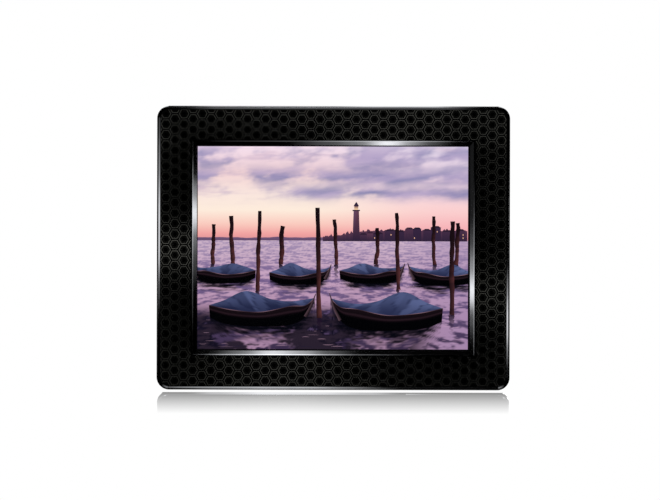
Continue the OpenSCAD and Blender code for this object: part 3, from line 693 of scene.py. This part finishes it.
def make_shore():
    """A far, low shore with plain roofs, trees and a harbour light."""
    rng = random.Random(4)
    haze, near = srgb(112, 86, 120), srgb(48, 34, 58)
    xs = [-SCREEN_W / 2 + i for i in range(int(SCREEN_W) + 1)]
    hills = [(x, HORIZON + 1.6 + 0.9 * cloudy(x * 0.05, 2.0)) for x in xs]
    patch(hills, [(x, HORIZON - 0.2) for x in xs], 1, lambda t, s, x, z: mix(haze, near, 0.3 * s))
    right = [-6 + 0.5 * i for i in range(int(2 * (SCREEN_W / 2 + 6)) + 1)]
    trees = [(x, HORIZON + 2 + 3.6 * smooth(-6, 26, x) + 2.4 * abs(cloudy(x * 0.4, 8.0)))
             for x in right]
    patch(trees, [(x, HORIZON - 0.6) for x in right], 2,
          lambda t, s, x, z: mix(mix(near, srgb(120, 74, 98), 0.4), near, s))
    x = 16.0
    while x < SCREEN_W / 2 - 4:
        w, h = rng.uniform(3.5, 8), rng.uniform(3.4, 6.4) + 2.2 * smooth(20, 70, x)
        wall = mix(srgb(50, 36, 62), srgb(92, 58, 80), rng.random())
        roof = mix(wall, srgb(26, 18, 34), 0.6)
        base, depth = HORIZON - 0.5, next_depth()
        fill([(x, base), (x + w, base), (x + w, base + h), (x, base + h)], [near, near, wall, wall], depth)
        fill([(x - 0.3, base + h), (x + w + 0.3, base + h), (x + w * 0.75, base + h + 1.1),
              (x + w * 0.25, base + h + 1.1)], [roof] * 4, depth)
        lights = next_depth()
        for k in range(int(w / 1.5)):
            at = x + 0.6 + 1.5 * k
            for row in range(1, int(h / 2)):
                glow = srgb(240, 186, 150) if rng.random() < 0.14 else mix(wall, near, 0.7)
                low = base + 1.9 * row - 0.4
                fill([(at, low), (at + 0.5, low), (at + 0.5, low + 0.8), (at, low + 0.8)], [glow] * 4, lights)
        x += w + rng.uniform(-0.4, 1.2)
    make_tower(14.0, near, haze)


def make_tower(x, near, haze):
    """The harbour light: a tapered tower, a gallery, a lit lamp room and a pointed cap."""
    body, lamp = srgb(96, 58, 76), srgb(255, 214, 170)
    gallery, rail, room, tip = 22, 22.8, 25, 27.6
    for low, low_w, high, high_w, colours in (
            (HORIZON, 2.2, gallery, 1.6, [near, near, body, mix(body, haze, 0.5)]),
            (gallery, 2.2, rail, 2.2, [near] * 4),
            (rail, 1.2, room, 1.2, [lamp, lamp, body, body])):
        fill([(x - low_w, low), (x + low_w, low), (x + high_w, high), (x - high_w, high)],
             colours, next_depth())
    fill([(x - 1.7, room), (x + 1.7, room), (x, tip)], [near] * 3, next_depth())


def make_post(x, top, foot, width, lean, seed):
    """A rough mooring post, warmer on its lit side, with its broken reflection below it."""
    rng = random.Random(seed)
    count = 18
    points, widths, colours = [], [], []
    for i in range(count + 1):
        t = i / count
        points.append((x + lean * t + 0.7 * cloudy(seed * 3.7, t * 2.2), foot + (top - foot) * t))
        widths.append(width * (1 - 0.1 * t) * (1 + 0.16 * rng.uniform(-1, 1)))
        grain = mix(srgb(112, 62, 62), srgb(66, 38, 44), rng.random())
        lit = mix(grain, srgb(30, 16, 22), smooth(0.1, 0.9, t))
        colours.append((mix(lit, srgb(16, 8, 12), 0.9), mix(lit, srgb(16, 8, 12), 0.25)))
    shade = srgb(30, 18, 38)
    mirror = [(x + 0.9 * math.sin(2.1 * k + seed) * smooth(0, 4, k), foot - 0.9 * k) for k in range(14)]
    depth = next_depth()
    strip_along(mirror, [width * (1 - 0.05 * k) * (1 + 0.3 * rng.uniform(-1, 1)) for k in range(14)],
                [(mix(shade, water_colour(*at), k / 13),) * 2 for k, at in enumerate(mirror)], depth)
    strip_along(points, widths, colours, next_depth())


def make_boat(x, z, length, rise, shade, seed, facing=1):
    """A moored rowing boat seen from its side, under a folded blue cover."""
    rng = random.Random(seed)
    ridge, sag = rng.uniform(0.19, 0.25), rng.uniform(-0.02, 0.02)

    def at(a, b):
        return (x + (a if facing > 0 else 1 - a) * length, z + b * length)

    def along(*places):
        return curve([at(a, b) for a, b in places])

    bow = (1.02, 0.36 * rise)
    sheer = along((0, 0.09), (0.22, 0.045), (0.5, 0.025), (0.78, 0.08), (0.93, 0.2 * rise), bow)
    keel = along((0.01, -0.03), (0.18, -0.095), (0.5, -0.115), (0.78, -0.1), (0.93, -0.02),
                 (1.02, 0.355 * rise))
    cover = along((0, 0.09), (0.15, 0.13 + sag), (0.36, ridge), (0.6, 0.14 + sag), (0.8, 0.13),
                  (1.01, 0.355 * rise))
    water = along((0.03, -0.2), (0.18, -0.26), (0.5, -0.28), (0.78, -0.25), (0.95, -0.19), (1.03, -0.15))
    light = mix(srgb(98, 110, 156), srgb(52, 56, 90), shade)
    deep = mix(srgb(38, 44, 78), srgb(14, 16, 34), shade)
    folds = [rng.random() for _ in range(14)]

    def below(t, s, px, pz):
        edge = smooth(0.1, 0.95, s + 0.6 * cloudy(px * 0.12, pz * 0.8, 2.0) + 1.2 * abs(t - 0.5) ** 2)
        return mix(srgb(7, 7, 16), water_colour(px, pz), edge)

    def cloth(t, s, px, pz):
        place = 11 * (t + 0.09 * s * (1 if t > 0.36 else -1)) + 0.4 * cloudy(t * 4, s * 2, seed)
        k = int(max(0, place)) % 13
        tone = folds[k] + (folds[k + 1] - folds[k]) * smooth(0.75, 1, place % 1)
        crease = smooth(0.14, 0.0, abs(place % 1 - 0.93))
        hang = smooth(0.1, 1.0, s)
        return mix(mix(light, deep, 0.1 + 0.55 * tone + 0.45 * hang), deep, 0.7 * crease)

    def planks(t, s, px, pz):
        line = smooth(0.1, 0.0, abs(s - 0.32))
        return mix(mix(srgb(22, 13, 19), srgb(1, 1, 3), smooth(0, 0.5, s)), srgb(70, 46, 58), 0.3 * line)

    patch(keel, water, 14, below)
    patch(cover, sheer, 12, cloth)
    patch(sheer, keel, 10, planks)
    count = len(sheer)
    tan = mix(srgb(150, 116, 128), srgb(70, 50, 62), shade)
    worn = [mix(tan, srgb(34, 22, 32), 0.5 + 0.4 * math.sin(i * 0.5)) for i in range(count)]
    strip_along(sheer, [0.32] * count, [(colour, colour) for colour in worn], next_depth())
    stem = along((0.93, -0.02), (0.98, 0.16 * rise), (1.005, 0.3 * rise), (1.03, 0.45 * rise))
    strip_along(stem, [2.0 - 1.6 * i / (len(stem) - 1) for i in range(len(stem))],
                [(mix(tan, srgb(24, 15, 22), 0.65), srgb(12, 8, 13))] * len(stem), next_depth())


def make_ripples():
    """Short light and dark strokes on the near water."""
    rng = random.Random(11)
    depth = next_depth()
    for _ in range(520):
        t = rng.random() ** 0.7
        z = HORIZON - 2 - t * (HORIZON + SCREEN_H / 2 - 3)
        x = rng.uniform(-SCREEN_W / 2 + 1, SCREEN_W / 2 - 8)
        w, h = rng.uniform(2, 7) * (0.4 + t), 0.1 + 0.22 * t * rng.random()
        base = water_colour(x, z)
        bright = rng.random() < 0.5
        colour = mix(base, srgb(214, 172, 198), 0.35) if bright else mix(base, srgb(30, 26, 52), 0.4)
        bend = rng.uniform(-0.3, 0.3)
        stroke = [(x + w * k / 4, z + bend * math.sin(math.pi * k / 4)) for k in range(5)]
        strip_along(stroke, [0.03, h, h * 1.2, h, 0.03], [(colour, colour)] * 5, depth)


def make_picture():
    """Sky and water, then what stands in them, from the farthest to the nearest."""
    grid(-SCREEN_W / 2, SCREEN_W / 2, HORIZON, SCREEN_H / 2, 0.7, sky_colour)
    grid(-SCREEN_W / 2, SCREEN_W / 2, -SCREEN_H / 2, HORIZON, 0.5, water_colour)
    make_shore()
    make_ripples()
    for i, (x, top, width) in enumerate(((-72, 14, 2.4), (-60, 19, 2.6), (-31, 13, 2.8), (2, 17, 2.2),
                                         (26, 12, 2.4), (61, 19, 2.2), (74, 15, 2.6))):
        make_post(x, top, -10, width, 0.9 * (-1) ** i, i + 1)
    make_boat(-84, -17, 38, 0.42, 0.3, 1, facing=-1)
    make_boat(-38, -18, 36, 0.5, 0.2, 2)
    make_boat(4, -17, 38, 0.45, 0.25, 3)
    make_boat(46, -18, 40, 0.5, 0.1, 4, facing=-1)
    make_post(-45, 22, -26, 2.5, 1.2, 21)
    make_post(39, 21, -25, 2.3, -0.9, 22)
    make_boat(-74, -40, 62, 0.45, 0.35, 5)
    make_boat(0, -42, 66, 0.5, 0.2, 6, facing=-1)
    make_post(-8, 24, -42, 2.8, -1.2, 23)
    make_post(71, 16, -40, 3.0, 0.8, 24)
    made = piece("screen_picture", picture["verts"], picture["faces"], "picture", "screen")
    layer = made.data.attributes.new("paint", "FLOAT_COLOR", "POINT")
    for i, colour in enumerate(picture["paint"]):
        layer.data[i].color = (*colour, 1)


make_picture()


# ---------- casing, keys and leg ----------

for name, radius in (("front_housing", 0.25), ("easel_leg", 0.4), ("leg_foot", 0.2), ("bottom_feet", 0.25),
                     ("power_slider", 0.12), ("hinge_pin", 0.2), ("rear_cover", 0.3)):
    softened(name, radius)


def bar(x0, x1, z0, z1):
    return [(x0, z0), (x1, z0), (x1, z1), (x0, z1)]


def pointer(x, z, towards, size=1.1):
    """A triangle that points up, down, or to either side of the frame."""
    a = math.radians(towards)
    back = 2.2      # from the tip round to each of the other corners, in radians
    return [(x + size * math.cos(a + turn), z + size * math.sin(a + turn)) for turn in (0, back, -back)]


def key_signs(name, x, z):
    """The plain sign printed on a key. Seen from behind, left is towards +x."""
    arrows = {"key_up": 90, "key_down": -90, "key_left": 0, "key_right": 180}
    if name in arrows:
        return [pointer(x, z, arrows[name])]
    if name == "key_menu":
        return [bar(x - 1.2, x + 1.2, z + 0.7 * k - 0.14, z + 0.7 * k + 0.14) for k in (-1, 0, 1)]
    if name == "key_enter":
        return [circle(x, z, 0.75)]
    return [bar(x - 1.0, x + 1.0, z - 0.16, z + 0.16), pointer(x + 1.0, z, 0, 0.8)]


for name in [n for n in nodes if n.startswith("key_")]:
    softened(name, 0.35, segments=3)
    low, high = box_in(name, FACE)
    middle = (low + high) / 2
    signs = [stacked([(points, high.y - 0.05), (points, high.y + 0.03)])
             for points in key_signs(name, middle.x, middle.z)]
    piece("sign_" + name, *gathered(signs), "key_print", slot_of[name], body_of[name])


def make_label_print():
    """A thin border, three short rules and a long one: the label itself is left blank."""
    low, high = box_in("rating_label", FACE)
    middle = (low + high) / 2
    border, line, thick, indent = 1.5, 0.16, 0.35, 3
    half_w, half_h = (high.x - low.x) / 2 - border, (high.z - low.z) / 2 - border
    shapes = [bar(-half_w, half_w, s * half_h - line, s * half_h + line) for s in (-1, 1)]
    shapes += [bar(s * half_w - line, s * half_w + line, line - half_h, half_h - line) for s in (-1, 1)]
    for z, length in ((7, 22), (3.6, 31), (0.2, 16)):
        shapes.append(bar(half_w - indent - length, half_w - indent, z - thick, z + thick))
    shapes.append(bar(indent - half_w, half_w - indent, -5.2 - line, -5.2 + line))
    marks = []
    for shape in shapes:
        points = [(x + middle.x, z + middle.z) for x, z in shape]
        marks.append(stacked([(points, high.y - 0.04), (points, high.y + 0.02)]))
    piece("label_print", *gathered(marks), "label_ink", slot_of["rating_label"], body_of["rating_label"])


make_label_print()


# ---------- stage, light and camera ----------

AIM = Vector((-2.01, 0, -1.18))     # where the camera looks, on the face
AWAY = 1313                         # how far the camera stands from it
ROLL = math.radians(0.14)
UP = (FACE.to_3x3() @ Vector((0, 0, 1))).normalized()


def dot_with(tree, vector, direction):
    node = tree.nodes.new("ShaderNodeVectorMath")
    node.operation = "DOT_PRODUCT"
    tree.links.new(vector, node.inputs[0])
    node.inputs[1].default_value = direction
    return node.outputs["Value"]


def eased(tree, value, low, high):
    """A node value that eases from 0 at low to 1 at high."""
    node = tree.nodes.new("ShaderNodeMapRange")
    node.interpolation_type = "SMOOTHSTEP"
    node.inputs["From Min"].default_value = low
    node.inputs["From Max"].default_value = high
    tree.links.new(value, node.inputs["Value"])
    return node.outputs["Result"]


def maths(tree, operation, *values):
    node = tree.nodes.new("ShaderNodeMath")
    node.operation = operation
    for socket, value in zip(node.inputs, values):
        if isinstance(value, (int, float)):
            socket.default_value = value
        else:
            tree.links.new(value, socket)
    return node.outputs[0]


def make_world():
    """White to the camera, soft light on everything, and only a bright sky overhead to mirror."""
    world = bpy.data.worlds.new("studio")
    bpy.context.scene.world = world
    world.use_nodes = True
    tree = world.node_tree
    background = tree.nodes["Background"]
    direction = tree.nodes.new("ShaderNodeTexCoord").outputs["Generated"]
    overhead = eased(tree, dot_with(tree, direction, UP), 0.3, 0.5)
    sideways = maths(tree, "ABSOLUTE", dot_with(tree, direction, (1, 0, 0)))
    brightest, soft = 0.25, 0.45
    falloff = maths(tree, "MULTIPLY", brightest, eased(tree, sideways, 0.12, 0.5))
    sky = maths(tree, "MULTIPLY", overhead, maths(tree, "SUBTRACT", brightest, falloff))
    ray = tree.nodes.new("ShaderNodeLightPath")
    ambient = maths(tree, "MULTIPLY", ray.outputs["Is Diffuse Ray"], soft)
    mirrored = maths(tree, "MULTIPLY", ray.outputs["Is Glossy Ray"], sky)
    strength = maths(tree, "ADD", ray.outputs["Is Camera Ray"], maths(tree, "ADD", ambient, mirrored))
    background.inputs["Color"].default_value = (1, 1, 1, 1)
    tree.links.new(strength, background.inputs["Strength"])


def stage_mesh(name, verts, faces, material):
    mesh = bpy.data.meshes.new(name)
    mesh.from_pydata(verts, [], faces)
    mesh.materials.append(material)
    made = added(name, mesh)
    return made


def make_floor():
    """A white table that mirrors the frame just in front of it and fades away from it."""
    material = bpy.data.materials.new("table")
    material.use_nodes = True
    tree = material.node_tree
    tree.nodes.remove(tree.nodes["Principled BSDF"])
    place = tree.nodes.new("ShaderNodeTexCoord").outputs["Object"]
    front = (FACE @ Vector((0, 0.3, OUTER[0].z))).y
    gap, reach, strongest = 0.0018, 0.0405, 0.77    # in front of the frame, and how strong it starts
    half_width, soft_end = 0.1056, 0.1095           # to either side of the middle
    ahead = maths(tree, "SUBTRACT", front, dot_with(tree, place, (0, 1, 0)))
    fade = tree.nodes.new("ShaderNodeMapRange")
    fade.inputs["From Min"].default_value = 0
    fade.inputs["From Max"].default_value = reach
    fade.inputs["To Min"].default_value = strongest
    fade.inputs["To Max"].default_value = 0
    tree.links.new(ahead, fade.inputs["Value"])
    aside = maths(tree, "ABSOLUTE", dot_with(tree, place, (1, 0, 0)))
    within = maths(tree, "SUBTRACT", 1.0, eased(tree, aside, half_width, soft_end))
    mirrored_here = maths(tree, "MULTIPLY", maths(tree, "GREATER_THAN", ahead, gap), within)
    shine = maths(tree, "MULTIPLY", fade.outputs["Result"], mirrored_here)
    white = tree.nodes.new("ShaderNodeEmission")
    mirror = tree.nodes.new("ShaderNodeBsdfGlossy")
    mirror.inputs["Color"].default_value = (1, 1, 1, 1)
    mirror.inputs["Roughness"].default_value = 0.04
    blend = tree.nodes.new("ShaderNodeMixShader")
    tree.links.new(shine, blend.inputs["Fac"])
    tree.links.new(white.outputs["Emission"], blend.inputs[1])
    tree.links.new(mirror.outputs["BSDF"], blend.inputs[2])
    tree.links.new(blend.outputs["Shader"], tree.nodes["Material Output"].inputs["Surface"])
    size = 6.0
    floor = stage_mesh("floor", [(-size, -size, 0), (size, -size, 0), (size, size, 0), (-size, size, 0)],
                       [(0, 1, 2, 3)], material)
    floor.visible_glossy = False


def area(name, place, size, power, mirrored=False):
    data = bpy.data.lights.new(name, "AREA")
    data.shape = "RECTANGLE"
    data.size, data.size_y = size
    data.energy = power
    lamp = added(name, data)
    lamp.location = place
    target = Vector((0, 0, 0.08))
    lamp.rotation_euler = (target - Vector(place)).to_track_quat("-Z", "Y").to_euler()
    lamp.visible_camera = False
    lamp.visible_glossy = mirrored


def lit_sheet(name, rows, stops):
    """A sheet that only mirrors see.

    stops give (place along the sheet, strength), and rows gives the sheet's two edges at a place.
    """
    points, paints = [], []
    steps = 48
    for i in range(steps + 1):
        t = stops[0][0] + (stops[-1][0] - stops[0][0]) * i / steps
        for (t0, a), (t1, b) in zip(stops, stops[1:]):
            if t <= t1 + 1e-6:
                glow = a + (b - a) * smooth(t0, t1, t)
                break
        points += [FACE @ p for p in rows(t)]
        paints += [(glow, glow, glow, 1)] * 2
    made = stage_mesh(name, points, [(2 * i, 2 * i + 1, 2 * i + 3, 2 * i + 2) for i in range(steps)],
                      MATERIALS["picture"])
    layer = made.data.attributes.new("paint", "FLOAT_COLOR", "POINT")
    for i, colour in enumerate(paints):
        layer.data[i].color = colour
    made.visible_camera = made.visible_diffuse = made.visible_shadow = False


def glow_card(name, side, slope, stops, width, reach=420):
    """A strip of light beside the frame, set where a trim's slope mirrors it to the camera.

    side points across the face to the strip, slope is the slope's angle to the face, and stops
    give (place along the trim, strength) in millimetres along the trim.
    """
    high = OUTER[1] if slope == RING else INNER[1]
    side = Vector(side)
    near = -abs(high.dot(side))
    turn = math.radians(2 * slope) + math.atan2(near - AIM.dot(side), AWAY)
    path = (reach - near) / math.sin(turn)
    depth = -path * math.cos(turn)
    along = Vector((abs(side.z), 0, abs(side.x)))
    centre = AIM.dot(along)

    def rows(t):
        at = side * reach + along * (centre + (t - centre) * (1 + path / AWAY))
        return [at + Vector((0, depth + edge * width, 0)) for edge in (-0.5, 0.5)]

    lit_sheet(name, rows, stops)


def make_glow():
    """Soft highlights on the trims, each one part of the way along its side."""
    right, left, up, down = (1, 0, 0), (-1, 0, 0), (0, 0, 1), (0, 0, -1)
    glow_card("glow_right", right, BEVEL,
              [(-24, 0), (-8, 0.07), (6, 0.22), (21, 1.4), (32, 0.4), (44, 0)], 140)
    glow_card("glow_left", left, BEVEL,
              [(-56, 0), (-40, 0.12), (-25, 1.5), (-12, 0.4), (4, 0.08), (18, 0.014), (62, 0.012), (74, 0)],
              140)
    glow_card("glow_below", down, BEVEL,
              [(-24, 0), (-2, 0.1), (16, 0.3), (33, 1.5), (46, 0.45), (57, 0.1), (70, 0)], 130)
    glow_card("glow_above", up, BEVEL,
              [(-120, 0), (-72, 0), (-54, 0.25), (-36, 1.2), (-20, 0.6), (-2, 0.12), (14, 0), (120, 0)], 130)
    glow_card("rim_right", right, RIM,
              [(-50, 0), (-19, 0.1), (5, 0.6), (21, 1.6), (32, 0.6), (42, 0.25), (56, 0)], 260, 400)
    glow_card("rim_left", left, RIM,
              [(-68, 0), (-43, 0.3), (-33, 0.8), (-25, 1.6), (-12, 0.7), (5, 0.28), (28, 0.03), (45, 0)],
              260, 400)
    glow_card("rim_below", down, RIM,
              [(-72, 0), (-50, 0.03), (-20, 0.08), (10, 0.5), (35, 1.3), (46, 0.8), (58, 0.4), (74, 0)],
              260, 400)
    glow_card("rim_above", up, RIM,
              [(-120, 0), (-78, 0), (-62, 0.8), (-35, 2.1), (-20, 1.7), (0, 0.6), (14, 0.14), (50, 0),
               (120, 0)],
              260, 400)
    glow_card("line_right", right, RING,
              [(-34, 0), (-20, 0.12), (-2, 0.95), (18, 1.05), (44, 0.36), (66, 0.08), (80, 0)], 110)
    glow_card("line_left", left, RING,
              [(-64, 0), (-55, 0.25), (-45, 0.95), (-34, 1.0), (-22, 0.3), (-10, 0)], 110)
    glow_card("line_below", down, RING, [(-80, 0), (-60, 0.12), (60, 0.12), (78, 0)], 110)
    glow_card("line_above", up, RING,
              [(-120, 0), (-106, 0), (-66, 0.5), (-40, 0.75), (-12, 0.7), (6, 0.3), (30, 0), (120, 0)], 110)
    lit_sheet("ceiling", lambda t: (Vector((1.27 * t, 95, 440)), Vector((1.27 * t, 560, 440))),
              [(-130, 0), (-92, 0), (-76, 0.35), (0, 0.45), (26, 0.95), (64, 0.95), (84, 0.2), (96, 0),
               (130, 0)])
    lit_sheet("ceiling_front", lambda t: (Vector((1.38 * t, 15, 440)), Vector((1.38 * t, 95, 440))),
              [(-100, 0), (-80, 1.2), (-40, 2.6), (-10, 2.4), (20, 1.0), (44, 0)])
    lit_sheet("behind", lambda t: (Vector((t, 1000, 470)), Vector((t, 1000, 1400))),
              [(-700, 1), (700, 1)])
    lit_sheet("under_front", lambda t: (Vector((t, -8, -96)), Vector((t, 3.5, -96))),
              [(-88, 0), (-72, 0.5), (-40, 1.25), (-10, 1.1), (20, 0.6), (44, 0)])
    lit_sheet("under_back", lambda t: (Vector((t, 3.5, -96)), Vector((t, 40, -96))),
              [(-96, 0), (-72, 0.05), (-40, 0.1), (-10, 0.08), (20, 0.03), (36, 0)])


def make_camera():
    """Square to the face, with the frame a little above and to the right of the middle."""
    data = bpy.data.cameras.new("camera")
    data.lens = 120
    data.sensor_width = 36
    camera = added("camera", data)
    camera.location = FACE @ (AIM + Vector((0, -AWAY, 0)))
    towards = (FACE @ AIM - camera.location).to_track_quat("-Z", "Y")
    camera.rotation_euler = (towards @ Matrix.Rotation(ROLL, 3, "Z").to_quaternion()).to_euler()
    bpy.context.scene.camera = camera


make_world()
make_floor()
make_glow()
make_camera()
area("top_light", (0, -0.1, 1.6), (1.6, 1.2), 22)
area("left_light", (-1.5, -0.5, 0.9), (0.8, 0.8), 9)
area("right_light", (1.5, -0.5, 0.9), (0.8, 0.8), 9)
area("back_light", (0.4, 1.7, 0.35), (1.0, 0.5), 34, mirrored=True)
area("back_fill", (-1.2, 1.1, 0.5), (0.9, 0.9), 14)
bpy.context.scene.view_settings.view_transform = "Standard"
